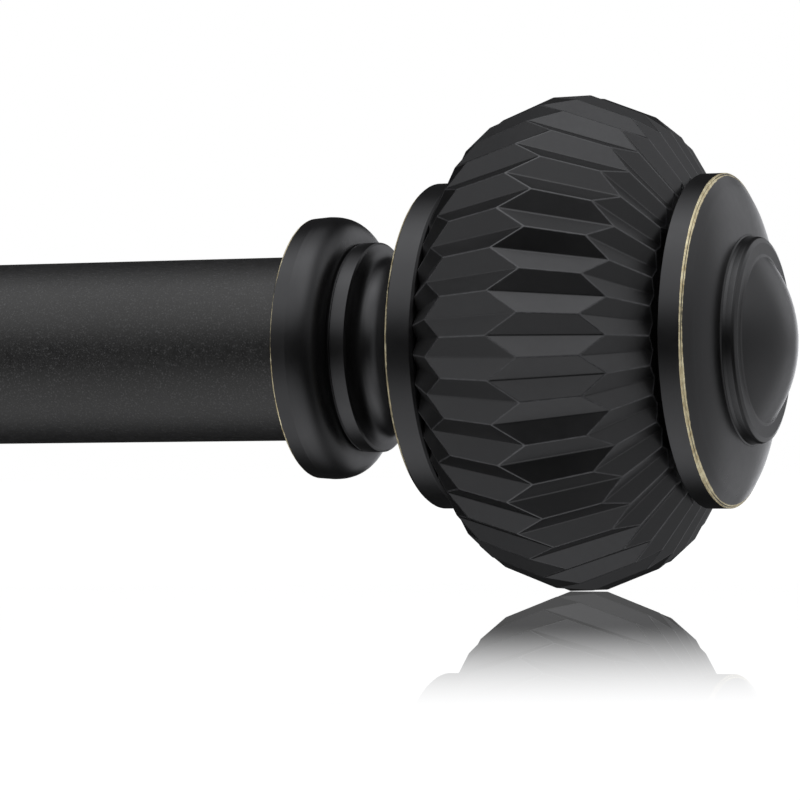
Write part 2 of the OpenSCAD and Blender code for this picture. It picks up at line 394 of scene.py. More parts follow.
def rng(nt, val, a, b, c, d, smooth=False):
    n = nt.nodes.new("ShaderNodeMapRange")
    n.interpolation_type = "SMOOTHSTEP" if smooth else "LINEAR"
    n.inputs["From Min"].default_value = a
    n.inputs["From Max"].default_value = b
    n.inputs["To Min"].default_value = c
    n.inputs["To Max"].default_value = d
    nt.links.new(val, n.inputs["Value"])
    return n.outputs["Result"]


def mth(nt, op, a, b=None, clamp=False):
    n = nt.nodes.new("ShaderNodeMath")
    n.operation = op
    n.use_clamp = clamp
    for i, v in enumerate((a, b)):
        if v is None:
            continue
        if isinstance(v, (int, float)):
            n.inputs[i].default_value = v
        else:
            nt.links.new(v, n.inputs[i])
    return n.outputs[0]


def mixc(nt, fac, a, b):
    n = nt.nodes.new("ShaderNodeMix")
    n.data_type = "RGBA"
    nt.links.new(fac, n.inputs[0])
    for s, v in ((n.inputs[6], a), (n.inputs[7], b)):
        if isinstance(v, tuple):
            s.default_value = v
        else:
            nt.links.new(v, s)
    return n.outputs[2]


def bump(nt, b, parts):
    """parts: (height output, distance in millimetres). Chained bumps into the shader's normal."""
    prev = None
    for h, dist in parts:
        n = nt.nodes.new("ShaderNodeBump")
        n.inputs["Strength"].default_value = 1.0
        n.inputs["Distance"].default_value = dist * MM
        nt.links.new(h, n.inputs["Height"])
        if prev is not None:
            nt.links.new(prev, n.inputs["Normal"])
        prev = n.outputs["Normal"]
    nt.links.new(prev, b.inputs["Normal"])


def col(v, g=None, b=None, a=1.0):
    return (v, v if g is None else g, v if b is None else b, a)


def coords(nt):
    t = nt.nodes.new("ShaderNodeTexCoord")
    return t.outputs["Object"]


def m_lacquer(name="satin_black_lacquer", brass=True, rough=0.30):
    m, nt, b = new_mat(name)
    co = coords(nt)
    b.inputs["IOR"].default_value = 1.56
    soft = noise(nt, co, 60, 3)
    fine = noise(nt, co, 900, 2)
    dust = noise(nt, co, 4200, 1)
    base = mixc(nt, rng(nt, soft, 0.3, 0.7, 0, 1), col(0.0032, 0.0031, 0.0032), col(0.0048, 0.0047, 0.0047))
    ro = mth(nt, "ADD", rng(nt, soft, 0.3, 0.7, rough - 0.02, rough + 0.03), rng(nt, fine, 0.3, 0.7, -0.012, 0.02))
    if brass:
        at = nt.nodes.new("ShaderNodeAttribute")
        at.attribute_name = "edge"
        d = at.outputs["Fac"]
        # rubbed width varies slowly round the rim and finely along the edge
        slow = noise(nt, co, 95, 2)
        quick = noise(nt, co, 1500, 3, 0.65)
        w = mth(nt, "ADD", rng(nt, slow, 0.30, 0.70, 0.005, 0.125), rng(nt, quick, 0.25, 0.75, -0.03, 0.03))
        msk = rng(nt, mth(nt, "SUBTRACT", w, d), -0.035, 0.035, 0, 1, True)
        tone = noise(nt, co, 700, 3, 0.6)
        gold = mixc(nt, rng(nt, tone, 0.3, 0.7, 0, 1), col(0.52, 0.41, 0.21), col(1.0, 0.91, 0.61))
        base = mixc(nt, msk, base, gold)
        nt.links.new(mth(nt, "MULTIPLY", msk, 0.5), b.inputs["Metallic"])
        ro = mth(nt, "ADD", ro, mth(nt, "MULTIPLY", msk, rng(nt, tone, 0.3, 0.7, 0.02, 0.16)))
    nt.links.new(base, b.inputs["Base Color"])
    nt.links.new(ro, b.inputs["Roughness"])
    bump(nt, b, [(fine, 0.0035), (dust, 0.0012)])
    return m


def m_drum():
    m, nt, b = new_mat("drum_black_resin")
    co = coords(nt)
    b.inputs["IOR"].default_value = 1.56
    soft = noise(nt, co, 75, 3)
    fine = noise(nt, co, 1100, 2)
    dust = noise(nt, co, 4600, 1)
    base = mixc(nt, rng(nt, soft, 0.3, 0.7, 0, 1), col(0.0048, 0.0048, 0.0049), col(0.0078, 0.0076, 0.0075))
    # lighter grey on the ridge vertices: painted highlight along the convex edges, partly rubbed wear
    at = nt.nodes.new("ShaderNodeAttribute")
    at.attribute_name = "ridge"
    ridge_highlight_and_wear = mth(nt, "MULTIPLY", at.outputs["Fac"], rng(nt, fine, 0.35, 0.65, 0.55, 1.0), True)
    base = mixc(nt, ridge_highlight_and_wear, base, col(0.062, 0.062, 0.064))
    nt.links.new(base, b.inputs["Base Color"])
    ro = mth(nt, "ADD", rng(nt, soft, 0.3, 0.7, 0.30, 0.37), rng(nt, fine, 0.3, 0.7, -0.015, 0.025))
    nt.links.new(ro, b.inputs["Roughness"])
    bump(nt, b, [(soft, 0.03), (fine, 0.004), (dust, 0.0015)])
    return m


def m_powder(name="rod_black_powder", base=0.0064, rough=0.42, grit=1.0):
    m, nt, b = new_mat(name)
    co = coords(nt)
    b.inputs["IOR"].default_value = 1.53
    b.inputs["Specular Tint"].default_value = (1.0, 0.99, 0.955, 1.0)
    slow = noise(nt, co, 35, 3)
    grain = noise(nt, co, 1500, 3, 0.6)
    fleck = noise(nt, co, 4200, 2, 0.6)
    c = mixc(nt, rng(nt, grain, 0.3, 0.7, 0, 1), col(base * 0.50), col(base * 1.4))
    c = mixc(nt, rng(nt, fleck, 0.55, 0.69, 0, 0.9), c, col(base * 7.6))
    nt.links.new(c, b.inputs["Base Color"])
    ro = mth(nt, "ADD", rng(nt, slow, 0.3, 0.7, rough - 0.02, rough + 0.03), rng(nt, grain, 0.3, 0.7, -0.04, 0.05))
    nt.links.new(ro, b.inputs["Roughness"])
    bump(nt, b, [(grain, 0.014 * grit), (fleck, 0.008 * grit)])
    return m


def m_metal(name, c0, c1, rough, scratch=0.004, scale=1.0):
    m, nt, b = new_mat(name)
    co = coords(nt)
    b.inputs["Metallic"].default_value = 1.0
    slow = noise(nt, co, 180 * scale, 3)
    grain = noise(nt, co, 2600 * scale, 3, 0.65)
    c = mixc(nt, rng(nt, slow, 0.3, 0.7, 0, 1), c0, c1)
    nt.links.new(c, b.inputs["Base Color"])
    nt.links.new(mth(nt, "ADD", rng(nt, slow, 0.3, 0.7, rough - 0.05, rough + 0.07), rng(nt, grain, 0.3, 0.7, -0.04, 0.05)), b.inputs["Roughness"])
    bump(nt, b, [(grain, scratch)])
    return m


def m_plastic(name, c0, c1, rough):
    m, nt, b = new_mat(name)
    co = coords(nt)
    b.inputs["IOR"].default_value = 1.5
    slow = noise(nt, co, 220, 3)
    grain = noise(nt, co, 2200, 2)
    nt.links.new(mixc(nt, rng(nt, slow, 0.3, 0.7, 0, 1), c0, c1), b.inputs["Base Color"])
    nt.links.new(rng(nt, grain, 0.3, 0.7, rough - 0.05, rough + 0.06), b.inputs["Roughness"])
    bump(nt, b, [(grain, 0.006)])
    return m


LACQ = m_lacquer()
LACQ_PLAIN = m_lacquer("satin_black_lacquer_plain", brass=False)
DRUM = m_drum()
POWDER = m_powder()
BRACKET = m_powder("bracket_black_powder", base=0.0095, rough=0.40, grit=1.1)
BLACKST = m_metal("black_oxide_steel", col(0.035, 0.035, 0.037), col(0.075, 0.073, 0.072), 0.36)
ZINC = m_metal("zinc_plate", col(0.50, 0.52, 0.55), col(0.66, 0.66, 0.64), 0.30)
NYLON = m_plastic("natural_nylon", col(0.74, 0.72, 0.65), col(0.82, 0.80, 0.74), 0.42)
BNYLON = m_plastic("black_nylon", col(0.014), col(0.022), 0.45)
SLOT_MAT = {"tube_black": POWDER, "finial_lacquer": LACQ_PLAIN, "drum_resin": DRUM, "bracket_black": BRACKET,
            "black_steel": BLACKST, "zinc": ZINC, "nylon": NYLON, "black_nylon": BNYLON}


def finish_piece(o, body, slot, mat, *nodes):
    o.data.materials.clear()
    o.data.materials.append(mat)
    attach(o, body)
    if nodes:
        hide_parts(*nodes)
    return o


# ------------------------------------------------------------------ finials
R99 = 99
NECK = [(-38.3, 13.0, .2), (-38.3, 13.4, .15), (-38.55, 13.7, .15), (-38.55, 17.80, .08), (-38.42, 17.92, .12), (-36.3, 18.08, 1.2),
        (-35.2, 18.04, R99), (-34.0, 17.75, R99), (-33.0, 17.15, R99), (-32.25, 16.3, R99), (-31.8, 15.25, R99), (-31.7, 14.2, .15),
        (-31.5, 14.05, .08), (-31.35, 14.4, .12), (-29.3, 14.4, .12), (-29.05, 14.1, .2), (-28.7, 12.9, R99), (-28.1, 12.1, R99),
        (-27.0, 11.65, R99), (-25.9, 11.75, R99), (-24.7, 12.25, R99), (-23.3, 13.05, R99), (-21.8, 14.0, R99), (-20.9, 14.5, .2),
        (-20.5, 14.5, .1), (-20.5, 4.05, .1), (-28.9, 4.05, .1), (-28.9, 8.3, .2), (-36.0, 8.3, .2), (-36.0, 13.0, .2)]
REAR = [(-20.5, 4.05, .1), (-20.5, 21.6, .06), (-20.38, 21.95, .08), (-20.05, 22.2, .12), (-16.9, 22.2, .25), (-16.5, 21.95, .2),
        (-16.4, 21.6, .1), (-16.4, 4.05, .1)]
FRONT = [(16.4, 4.05, .1), (16.4, 15.0, .1), (17.5, 15.0, .1), (17.5, 22.3, .07), (17.6, 22.4, .07), (20.44, 22.4, .07), (20.60, 22.28, .05),
         (20.585, 22.17, .03), (20.70, 22.08, .04), (20.84, 21.86, .08), (21.6, 20.6, 6), (22.2, 19.2, 99), (22.7, 17.6, 99),
         (23.1, 15.9, 99), (23.4, 14.2, .3), (23.4, 4.05, .1)]
DOME = [(27.0, 0.0, 0), (27.0, 4.05, .1), (23.3, 4.05, .1), (23.3, 14.1, .05), (23.42, 14.08, .05), (23.58, 13.86, .2), (24.0, 13.8, .3),
        (24.8, 13.8, .35), (25.2, 13.6, .3), (25.42, 13.0, .5), (25.42, 11.45, .3)]
for i in range(34):
    a = math.radians(37.7) * (1 - i / 33) if i < 33 else 0
    DOME.append((11.2 + 18.1 * math.cos(a), 18.1 * math.sin(a), 99 if i else .3))
DOME[-1] = (29.3, 0.0, 0)


def drum_mesh(name, x0, flip):
    """Drum with flat facets and softly broken edges."""
    nf = 36
    ph = math.radians(0.49)
    pl = [(16.4, 22.2), (12.5, 28.25), (-2.15, 33.45), (-9.6, 30.6), (-16.4, 20.67)]
    ql = [(-pl[i][0], pl[i][1]) for i in (4, 3, 2, 1, 0)]
    bm = bmesh.new()
    rows = []
    for k in range(2 * nf):
        a = math.pi * k / nf + ph
        prof = pl if k % 2 == 0 else ql
        pts = [(16.4, 4.15), (16.4, 14.5)] + list(prof) + [(-16.4, 14.5), (-16.4, 4.15)]
        rows.append([bm.verts.new((x, r * math.cos(a), r * math.sin(a))) for x, r in pts])
    n = len(rows[0])
    for k in range(2 * nf):
        A, B = rows[k], rows[(k + 1) % (2 * nf)]
        for j in range(n):
            bm.faces.new((A[j], A[(j + 1) % n], B[(j + 1) % n], B[j]))
    bm.normal_update()
    bmesh.ops.recalc_face_normals(bm, faces=bm.faces)
    es = []
    for e in bm.edges:
        if len(e.link_faces) == 2 and e.calc_face_angle(0) > math.radians(2.5):
            if min(math.hypot(v.co.y, v.co.z) for v in e.verts) > 15:
                es.append(e)
    bmesh.ops.bevel(bm, geom=es, offset=0.18, offset_type="OFFSET", segments=2, profile=0.6, affect="EDGES", clamp_overlap=True)
    bm.normal_update()
    bmesh.ops.recalc_face_normals(bm, faces=bm.faces)
    me = bpy.data.meshes.new(name)
    bm.to_mesh(me)
    bm.free()
    nv = len(me.vertices)
    co = np.empty(nv * 3)
    me.vertices.foreach_get("co", co)
    co = co.reshape(-1, 3)
    co = place(co, "x", x0, flip) * MM
    me.vertices.foreach_set("co", co.ravel())
    me.update()
    nF = len(me.polygons)
    ar = np.empty(nF)
    me.polygons.foreach_get("area", ar)
    fn = np.empty(nF * 3)
    # outward winding whatever the mirror did
    me.polygons.foreach_get("normal", fn)
    fn = fn.reshape(-1, 3)
    ce = np.empty(nF * 3)
    me.polygons.foreach_get("center", ce)
    ce = ce.reshape(-1, 3) - np.array([x0, YA, 0]) * MM
    big = ce[:, 1] ** 2 + ce[:, 2] ** 2 > (0.018 ** 2)
    if ((fn * ce)[big]).sum() < 0:
        me.flip_normals()
        me.update()
        me.polygons.foreach_get("normal", fn.ravel())
        f2 = np.empty(nF * 3)
        me.polygons.foreach_get("normal", f2)
        fn = f2.reshape(-1, 3)
    W = np.zeros((nv, 3))
    big_a = np.zeros(nv)
    for p in me.polygons:
        for v in p.vertices:
            W[v] += fn[p.index] * ar[p.index] ** 1.5
            big_a[v] = max(big_a[v], ar[p.index])
    me.polygons.foreach_set("use_smooth", [True] * nF)
    me.normals_split_custom_set_from_vertices(unit(W).tolist())
    # ridges: convex edges get a lighter colour in the drum material, a painted highlight along the edges that partly
    # stands for rubbed wear. A vertex is on a ridge where the surface falls away from it on both sides.
    at = me.attributes.new("ridge", "FLOAT", "POINT")
    val = np.zeros(nv)
    P = co / MM
    nb = np.zeros((nv, 3))
    cnt = np.zeros(nv)
    for e in me.edges:
        i, j = e.vertices
        nb[i] += P[j]
        nb[j] += P[i]
        cnt[i] += 1
        cnt[j] += 1
    lap = ((nb / np.maximum(cnt, 1)[:, None] - P) * unit(W)).sum(1)
    rr = ln2(P[:, 1] - YA, P[:, 2])
    val[(big_a < (0.9 * MM) ** 2 * 8) & (lap < -0.002) & (rr > 19)] = 1.0
    strip = [p for p in me.polygons if ar[p.index] > 4e-6]
    touch = np.zeros(nv, bool)
    for p in strip:
        touch[list(p.vertices)] = True
    val[touch] = 0.0
    at.data.foreach_set("value", val.astype(np.float32))
    me.update()
    return link(bpy.data.objects.new(name, me))


def threaded(name, x0, x1, r, pitch, flip, xo, seg=48, axis="x"):
    """Fully threaded rod: radius follows a 60 degree thread, with run-out chamfers."""
    step = pitch / 8
    k = int(round((x1 - x0) / step))
    xs = np.linspace(x0, x1, k + 1)
    pts = [(x0, 0.0, 0)] + [(x0, r * 0.93, 0)] + [(float(x), r, 0) for x in xs[1:-1]] + [(x1, r * 0.93, 0)] + [(x1, 0.0, 0)]
    P = np.array([p[:2] for p in pts])
    th = np.arange(seg) * 2 * math.pi / seg
    V, F, idx = [], [], []
    dep = 0.55 * pitch
    for i, (x, rr) in enumerate(P):
        if rr < 1e-6:
            idx.append([len(V)])
            V.append([x, 0, 0])
            continue
        idx.append(list(range(len(V), len(V) + seg)))
        for t in th:
            ph = ((x / pitch - t / (2 * math.pi)) % 1.0)
            tri = abs(ph * 2 - 1)
            tri = min(max((tri - 0.08) / 0.82, 0), 1)
            lim = r - dep * tri
            end = min((x - x0), (x1 - x))
            q = min(lim, r - dep + end * 1.0) if end < dep else lim
            if i in (1, len(P) - 2):
                q = r - dep
            V.append([x, q * math.cos(t), q * math.sin(t)])
    for i in range(len(P) - 1):
        A, B = idx[i], idx[i + 1]
        for j in range(seg):
            kk = (j + 1) % seg
            if len(A) == 1:
                F.append((A[0], B[j], B[kk]))
            elif len(B) == 1:
                F.append((A[j], B[0], A[kk]))
            else:
                F.append((A[j], B[j], B[kk], A[kk]))
    W = place(np.array(V), axis, xo, flip)
    o = build(name, W, F)
    bm = bmesh.new()
    bm.from_mesh(o.data)
    bmesh.ops.recalc_face_normals(bm, faces=bm.faces)
    bm.to_mesh(o.data)
    bm.free()
    o.data.polygons.foreach_set("use_smooth", [True] * len(o.data.polygons))
    o.data.set_sharp_from_angle(angle=math.radians(50))
    return o


for side, x0, flip in (("right", XR, False), ("left", XL, True)):
    fb = side + "_finial"
    o = lathe(side + "_neck_turned", NECK, "x", x0, flip, seg=256, gold=[(-38.45, 17.88), (-38.30, 17.94)], wide=0.02)
    finish_piece(o, fb, "finial_lacquer", LACQ, side + "_neck")
    o = lathe(side + "_rear_plate_turned", REAR, "x", x0, flip, seg=256, gold=[(-20.42, 21.84), (-20.24, 22.06)], wide=0.125)
    finish_piece(o, fb, "finial_lacquer", LACQ, side + "_rear_plate")
    o = lathe(side + "_front_plate_turned", FRONT, "x", x0, flip, seg=288, gold=[(20.51, 22.35), (20.735, 22.03)], wide=0.09)
    finish_piece(o, fb, "finial_lacquer", LACQ, side + "_front_plate")
    o = lathe(side + "_dome_button_turned", DOME, "x", x0, flip, seg=224, closed=False)
    finish_piece(o, fb, "finial_lacquer", LACQ_PLAIN, side + "_dome_button")
    o = drum_mesh(side + "_drum_fluted", x0, flip)
    finish_piece(o, fb, "drum_resin", DRUM, side + "_drum")
    o = threaded(side + "_tie_stud", -53, 26.7, 4.0, 1.25, flip, x0)
    finish_piece(o, fb, "zinc", ZINC, side + "_stud")

# ------------------------------------------------------------------ rod
o = lathe("outer_tube_drawn", [(OT0, 11.8, .15), (OT0, 12.7, .2), (OT1, 12.7, .2), (OT1, 11.8, .15)], seg=224, long_step=20)
finish_piece(o, "rod", "tube_black", POWDER, "outer_tube")
o = lathe("inner_tube_drawn", [(IT0, 10.3, .15), (IT0, 11.1, .2), (IT1, 11.1, .2), (IT1, 10.3, .15)], seg=208, long_step=20)
finish_piece(o, "inner", "tube_black", POWDER, "inner_tube")
o = lathe("mouth_liner_moulded", [(OT0 - 1, 11.2, .2), (OT0 - 1, 12.4, .25), (OT0 - .6, 12.7, .3), (OT0, 12.7, .05), (OT0, 11.8, .05),
                                  (OT0 + 10, 11.8, .1), (OT0 + 10, 11.2, .1)], seg=192)
finish_piece(o, "rod", "black_nylon", BNYLON, "mouth_liner")
o = lathe("left_reducer_turned", [(IT0, 11.13, .1), (IT0, 12.7, .15), (IT0 + 9, 12.7, .3), (IT0 + 10, 12.1, .3), (IT0 + 10, 11.13, .1)], seg=192)
finish_piece(o, "inner", "finial_lacquer", LACQ_PLAIN, "left_reducer")

# ------------------------------------------------------------------ brackets
WALL = [(0, 0), (30, 0), (30, 2.3), (29.6, 2.8), (27.2, 3.0), (26.6, 3.4), (26.2, 4.2), (25.6, 4.6), (14.5, 5.4), (13, 6.2), (12.2, 7.6),
        (12, 9), (12, 15.4), (11.4, 16), (8.05, 16), (8.05, 2), (0, 2)]


def wall_sdf(p):
    """p: x across, y height above the wall, z up."""
    x, h, z = p[:, 0], p[:, 1], p[:, 2]
    r = ln2(x, z)
    d = poly_sdf(r, h, WALL) - 0.0
    d = smax(d, -rod_sdf(h, r, 1.99, 30, 8.05), 0.25)
    for s in (-1, 1):
        q = ln2(x, z - s * 20)
        hole = np.minimum(q - 2.3, (q - (h - 2.4) - 2.3) * 0.7071)
        hole = np.maximum(np.maximum(hole, -h - 5), q - 5.1)
        d = smax(d, -hole, 0.35)
    g = ln2(x, h - 11)
    d = smax(d, -np.maximum(g - 2.05, z + 4), 0.3)
    return d


U_C = 14.4


def cradle_sdf(p):
    """p: x along the rod, y towards the wall, z up, from the rod axis."""
    x, y, z = p[:, 0], p[:, 1], p[:, 2]
    arc = np.abs(ln2(y, z) - U_C)
    leg = ln2(np.abs(y) - U_C, np.maximum(z - 6.55, 0))
    d2 = np.where(z < 0, arc, leg) - 1.4
    r = 0.8
    wx = np.abs(x) - 7.5
    a, b = d2 + r * 0.55, wx + r * 0.55
    d = np.minimum(np.maximum(a, b), 0) + ln2(np.maximum(a, 0), np.maximum(b, 0)) - r * 0.55
    back = rod_sdf(y, ln2(x, z), 13.6, 21.4, 7.5, 0.6)
    front = rod_sdf(-y, ln2(x, z), 13.6, 19.8, 5.6, 0.6)
    d = smin(d, back, 2.0)
    d = smin(d, front, 2.0)
    # space for the rod stays clear
    inner = np.where(z < 0, ln2(y, z), np.abs(y)) - 13.0
    d = smax(d, -inner, 0.15)
    # socket, screw hole, thread
    d = smax(d, -rod_sdf(y, ln2(x, z), 15.8, 40, 6.35), 0.25)
    q = ln2(x, z)
    d = smax(d, -np.maximum(q - 2.05, np.abs(y - 15) - 4), 0.15)
    cs = np.maximum(np.maximum((q - (2.05 + (15.2 - y))) * 0.7071, q - 4.1), np.abs(y - 13.5) - 1.8)
    d = smax(d, -cs, 0.15)
    d = smax(d, -np.maximum(q - 2.58, np.abs(y + 16) - 6), 0.25)
    return d


def collar_sdf(p):
    x, h, z = p[:, 0], p[:, 1], p[:, 2]
    r = ln2(x, z)
    d = poly_sdf(r, h, [(8.05, 42), (10.2, 42), (11, 42.5), (11.5, 43.5), (11.5, 51.4), (11, 52.4), (10, 53), (6.8, 53), (6.8, 52.1), (8.05, 52.1)])
    # shallow grip rings
    for c in (45.0, 49.6):
        d = smax(d, -(ln2(r - 11.75, h - c) - 0.42), 0.25)
    d = smax(d, -np.maximum(ln2(x, h - 47) - 2.05, z + 6), 0.3)
    return d


def hexr(x, z, r):
    """Distance to a hexagonal hole of across-corner radius r."""
    a = r * math.cos(math.pi / 6)
    d = np.full(x.shape, -1e9)
    for k in range(3):
        t = math.pi / 3 * k + math.pi / 6
        d = np.maximum(d, np.abs(x * math.cos(t) + z * math.sin(t)) - a)
    return d


def set_screw_mesh(name, bx, y, z0, z1):
    def f(p):
        a, b, z = p[:, 0], p[:, 1], p[:, 2]
        q = ln2(a, b)
        ang = np.arctan2(b, a)
        ph = (z / 0.7 - ang / (2 * math.pi)) % 1.0
        dep = 0.28 * np.abs(ph * 2 - 1)
        d = np.maximum((q - (2.0 - dep)) * 0.8, np.maximum(z0 - z, z - z1))
        d = np.maximum(d, (q - 2.0 - (z - z0) + 0.35) * 0.7071)
        d = np.maximum(d, (q - 2.0 - (z1 - z) + 0.45) * 0.7071)
        return np.maximum(d, -np.maximum(hexr(a, b, 1.15), z - (z0 + 2)))
    return nets(name, f, (-2.4, -2.4, z0 - .3), (2.4, 2.4, z1 + .3), 0.11, lambda V, NV: (V + np.array([bx, y, 0]), NV))


def csk_mesh(name, bx):
    def f(p):
        x, h, z = p[:, 0], p[:, 1], p[:, 2]      # h: distance from the wall
        q = ln2(x, z)
        d = poly_sdf(q, h, [(0, 81.88), (3.9, 81.88), (3.9, 81.7), (2, 79.8), (2, 70), (0, 70)])
        ph = (h / 0.7 - np.arctan2(z, x) / (2 * math.pi)) % 1.0
        d = np.where(h < 79.0, np.maximum(d, (q - (2.0 - 0.28 * np.abs(ph * 2 - 1))) * 0.8), d)
        return np.maximum(d, -np.maximum(hexr(x, z, 1.2), 80.6 - h))
    return nets(name, f, (-4.3, 69.6, -4.3), (4.3, 82.3, 4.3), 0.15,
                lambda V, NV: (V * np.array([1, -1, 1]) + np.array([bx, 0, 0]), NV * np.array([1, -1, 1])))


TH = 95 + 12.7


def thumb_disp(a, t):
    d = 0.0
    if TH + 11.0 < a < TH + 17.0:               # scalloped grip
        w = min(1.0, (a - TH - 11.0) / 0.5, (TH + 17.0 - a) / 0.5)
        ph = (t / (2 * math.pi) * 18) % 1.0
        u = abs(ph - 0.5) * 2 * (math.pi * 8.2 / 18)     # distance from a groove's middle, millimetres
        u = (math.pi * 8.2 / 18) - u
        g = math.sqrt(max(0.0, 0.8 * 0.8 - u * u)) - 0.28
        d -= max(0.0, g) * w
    if TH + 2.3 < a < TH + 9.0:                 # thread
        w = min(1.0, (a - TH - 2.3) / 0.5, (TH + 9.0 - a) / 0.5)
        ph = (a / 0.8 - t / (2 * math.pi)) % 1.0
        d -= 0.40 * abs(ph * 2 - 1) * w
    return d


def thumb_mesh(name, bx):
    prof = [(TH + 2, 0, 0), (TH + 2, 2.3, .15), (TH + 2.3, 2.5, .1)]
    a = TH + 2.4
    while a < TH + 9.1:
        prof.append((a, 2.5, 0.0))
        a += 0.1
    prof += [(TH + 9.2, 2.5, .05), (TH + 9.2, 4.2, .1), (TH + 9.6, 4.6, .2), (TH + 10.6, 4.6, .15), (TH + 10.6, 7.6, .15), (TH + 11.2, 8.2, .25)]
    a = TH + 11.5
    while a < TH + 16.3:
        prof.append((a, 8.2, 0.0))
        a += 0.25
    prof += [(TH + 16.4, 8.2, .3), (TH + 17.2, 7.4, .4), (TH + 17.6, 4, 3), (TH + 17.8, 0, 0)]
    o = lathe(name, prof, "y", bx, False, seg=288, closed=False, disp=thumb_disp)
    o.data.set_sharp_from_angle(angle=math.radians(55))
    return o


for side in ("right", "left"):
    bx = BX[side]
    to_frame = lambda V, NV, bx=bx: (V * np.array([1, -1, 1]) + np.array([bx, 0, 0]), NV * np.array([1, -1, 1]))
    o = nets(side + "_wall_plate_cast", wall_sdf, (-31, -1, -31), (31, 17, 31), 0.36, to_frame)
    finish_piece(o, side + "_wall", "bracket_black", BRACKET, side + "_wall_plate")
    o = lathe(side + "_arm_tube_drawn", [(2, 6.35, .1), (2, 8, .2), (52, 8, .25), (52, 6.35, .15)], "y", bx, seg=128)
    finish_piece(o, side + "_wall", "bracket_black", BRACKET, side + "_arm_tube")
    o = nets(side + "_arm_collar_turned", collar_sdf, (-12.5, 41, -12.5), (12.5, 54, 12.5), 0.24, to_frame)
    finish_piece(o, side + "_wall", "bracket_black", BRACKET, side + "_arm_collar")
    o = set_screw_mesh(side + "_grub_screw_hex", bx, -11, -11.8, -8.02)
    finish_piece(o, side + "_wall", "black_steel", BLACKST, side + "_grub_screw")
    o = set_screw_mesh(side + "_lock_screw_hex", bx, -47, -11.3, -6.4)
    finish_piece(o, side + "_wall", "black_steel", BLACKST, side + "_lock_screw")
    o = lathe(side + "_arm_bar_turned", [(14, 0, 0), (14, 5.9, .2), (14.5, 6.3, .2), (79.2, 6.3, .2), (79.2, 0, 0)], "y", bx, seg=112, closed=False)
    finish_piece(o, side + "_arm", "bracket_black", BRACKET, side + "_arm_bar")
    o = nets(side + "_cradle_cast", cradle_sdf, (-8.5, -21, -17), (8.5, 22.6, 9), 0.3,
             lambda V, NV, bx=bx: (V + np.array([bx, YA, 0]), NV))
    finish_piece(o, side + "_arm", "bracket_black", BRACKET, side + "_cradle")
    o = csk_mesh(side + "_cradle_screw_csk", bx)
    finish_piece(o, side + "_arm", "zinc", ZINC, side + "_cradle_screw")
    o = thumb_mesh(side + "_thumb_screw_scalloped", bx)
    finish_piece(o, side + "_thumb", "bracket_black", BRACKET, side + "_thumb_screw")
    o = lathe(side + "_thumb_pad_moulded", [(TH + .15, 0, 0), (TH + .15, 1.9, .1), (TH + .6, 2.45, .2), (TH + 1.9, 2.45, .1), (TH + 1.9, 0, 0)], "y", bx, seg=64, closed=False)
    finish_piece(o, side + "_pad", "nylon", NYLON, side + "_thumb_pad")

# ------------------------------------------------------------------ CAD nodes that stay: hidden fasteners and plugs
slot_of = {s["node"]: s["material_slot"] for s in frame["record"]["subparts"]}
for n, o in frame["nodes"].items():
    if o.hide_render:
        continue
    o.data.materials.clear()
    o.data.materials.append(SLOT_MAT[slot_of[n]])

# ------------------------------------------------------------------ floor
fz = min(min((o.matrix_world @ v.co).z for v in o.data.vertices) for o in SC.objects if o.type == "MESH" and not o.hide_render) - 0.00002
bm = bmesh.new()
nr, ns = 40, 96
rows = []
cx, cy = XR * MM, YA * MM
for i in range(nr + 1):
    r = 9.0 * (i / nr) ** 2.5
    rows.append([bm.verts.new((cx + r * math.cos(2 * math.pi * j / ns), cy + r * math.sin(2 * math.pi * j / ns), fz)) for j in range(ns)] if i else [bm.verts.new((cx, cy, fz))])
for i in range(nr):
    for j in range(ns):
        k = (j + 1) % ns
        if i == 0:
            bm.faces.new((rows[0][0], rows[1][j], rows[1][k]))
        else:
            bm.faces.new((rows[i][j], rows[i + 1][j], rows[i + 1][k], rows[i][k]))
me = bpy.data.meshes.new("studio_floor")
bm.to_mesh(me)
bm.free()
floor = link(bpy.data.objects.new("studio_floor", me))
fm = bpy.data.materials.new("studio_floor_white")
fm.use_nodes = True
nt = fm.node_tree
nt.nodes.clear()
out = nt.nodes.new("ShaderNodeOutputMaterial")
co = nt.nodes.new("ShaderNodeTexCoord").outputs["Object"]
emi = nt.nodes.new("ShaderNodeEmission")
emi.inputs["Strength"].default_value = 0.975
dif = nt.nodes.new("ShaderNodeBsdfDiffuse")
dif.inputs["Color"].default_value = col(0.12)
add = nt.nodes.new("ShaderNodeAddShader")
nt.links.new(emi.outputs[0], add.inputs[0])
nt.links.new(dif.outputs[0], add.inputs[1])
glo = nt.nodes.new("ShaderNodeBsdfGlossy")
glo.inputs["Roughness"].default_value = 0.0
glo.inputs["Color"].default_value = col(1.0)
# polish fades with distance in front of the finial
off = nt.nodes.new("ShaderNodeVectorMath")
off.operation = "SUBTRACT"
off.inputs[1].default_value = (cx, cy, fz)
nt.links.new(co, off.inputs[0])
ahead = nt.nodes.new("ShaderNodeVectorMath")
ahead.operation = "DOT_PRODUCT"
ahead.inputs[1].default_value = (0.3587, -0.9335, 0.0)
nt.links.new(off.outputs[0], ahead.inputs[0])
side_ = nt.nodes.new("ShaderNodeVectorMath")
side_.operation = "DOT_PRODUCT"
side_.inputs[1].default_value = (0.9335, 0.3587, 0.0)
nt.links.new(off.outputs[0], side_.inputs[0])
pol = rng(nt, ahead.outputs["Value"], 0.13, 0.32, 0.94, 0.0, True)
pol = mth(nt, "MULTIPLY", pol, rng(nt, ahead.outputs["Value"], -0.11, -0.05, 0.0, 1.0, True))
pol = mth(nt, "MULTIPLY", pol, rng(nt, mth(nt, "ABSOLUTE", side_.outputs["Value"]), 0.07, 0.15, 1.0, 0.0, True))
mx = nt.nodes.new("ShaderNodeMixShader")
nt.links.new(pol, mx.inputs[0])
